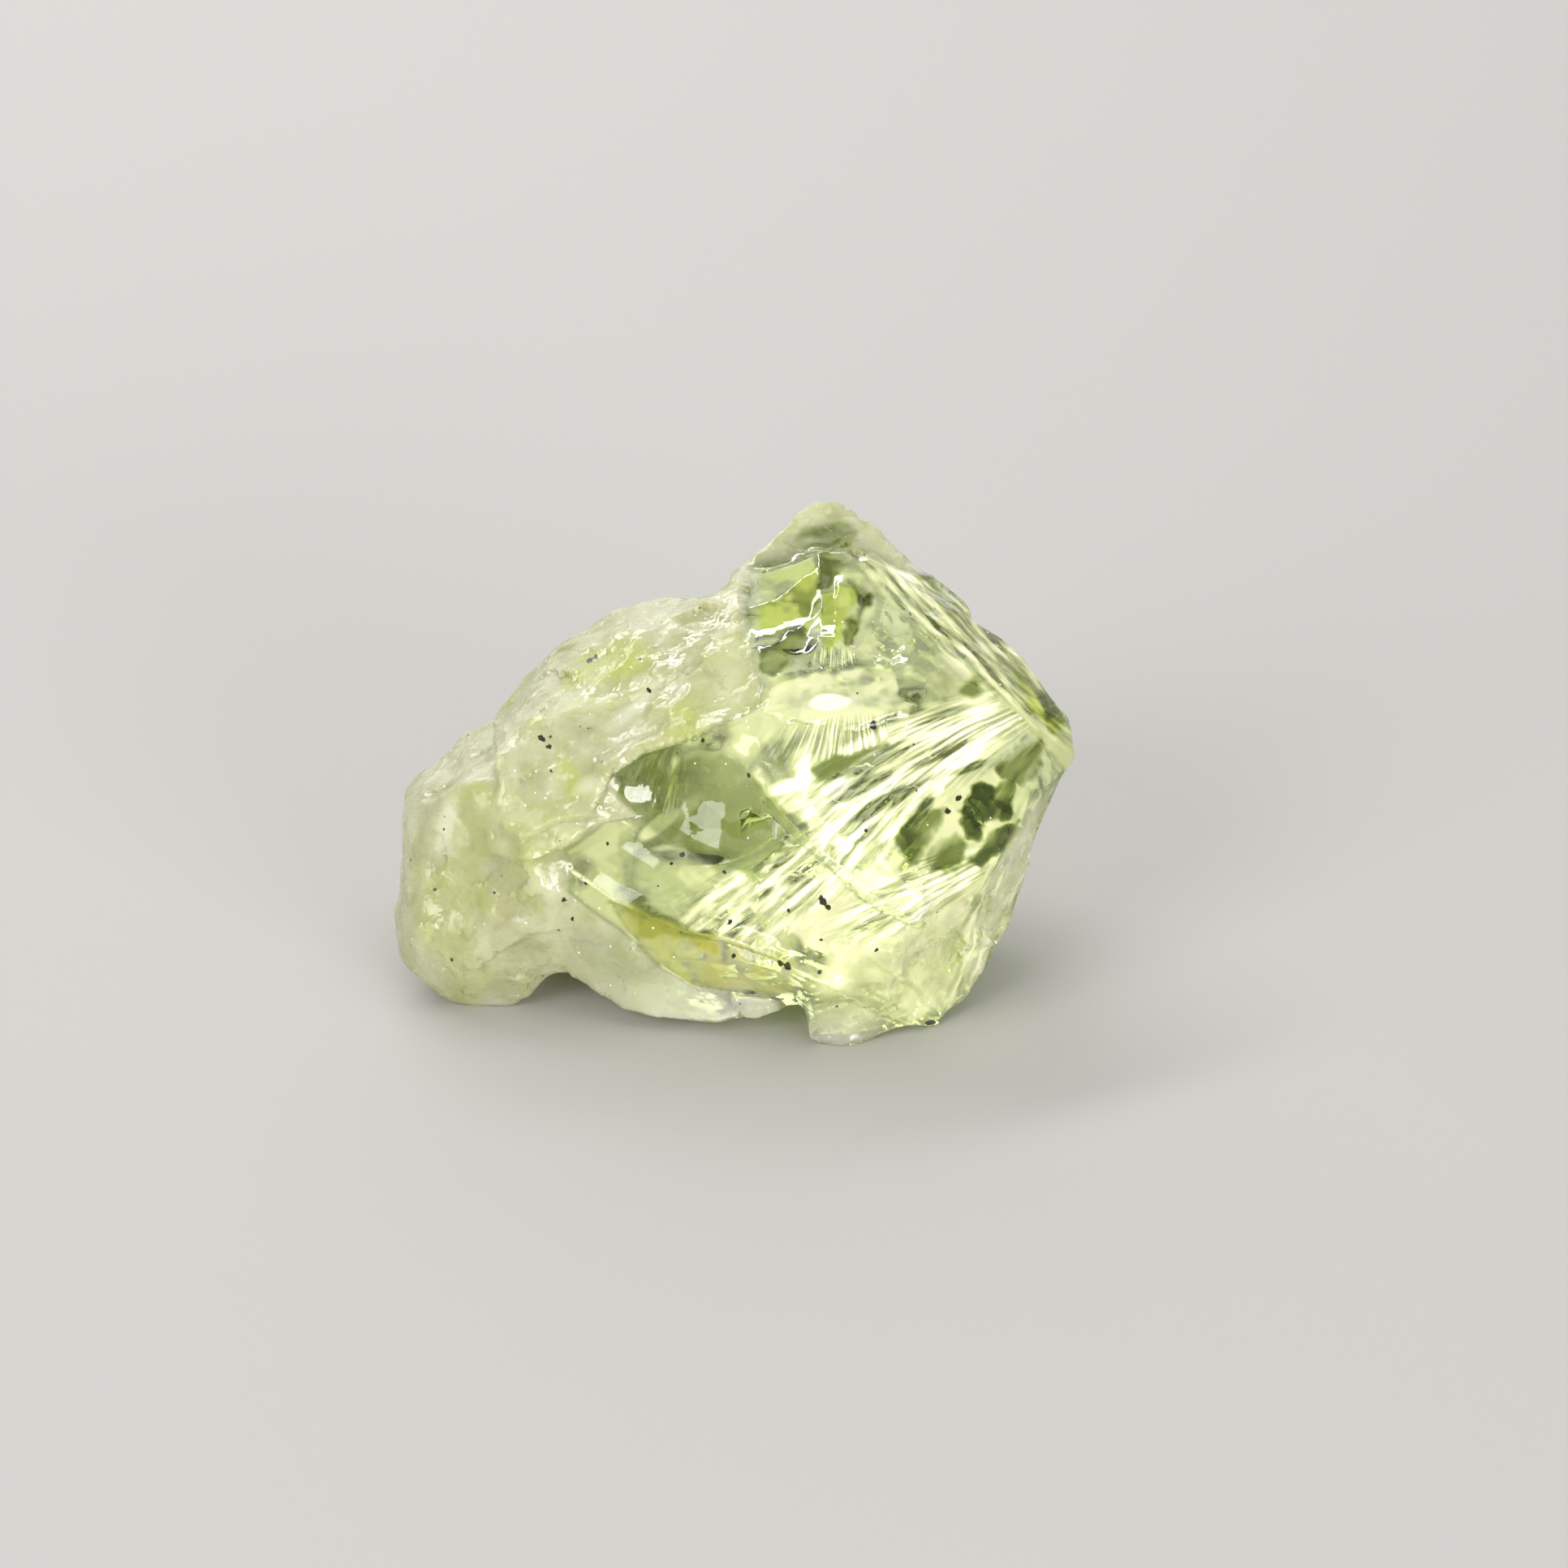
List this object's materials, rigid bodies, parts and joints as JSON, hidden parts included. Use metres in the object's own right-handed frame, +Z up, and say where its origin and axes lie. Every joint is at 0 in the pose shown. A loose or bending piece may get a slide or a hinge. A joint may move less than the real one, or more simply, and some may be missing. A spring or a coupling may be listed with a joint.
{
  "type": "raw prasiolite",
  "caption": "Rough broken lump of pale green quartz, clear and sharp-edged on one side, milky and rounder on the other, resting on its own flat spots.",
  "frame": {"origin": "middle of the lump's box, at the level of the surface that it rests on", "axes": "+X to the right along the lump's length as the display side is seen, +Y away from the display side, +Z up"},
  "size_m": [0.0498, 0.0346, 0.0315],
  "materials": {
    "prasiolite": "gloss"
  },
  "bodies": {
    "root": {"prasiolite": "prasiolite"}
  },
  "joints": []
}
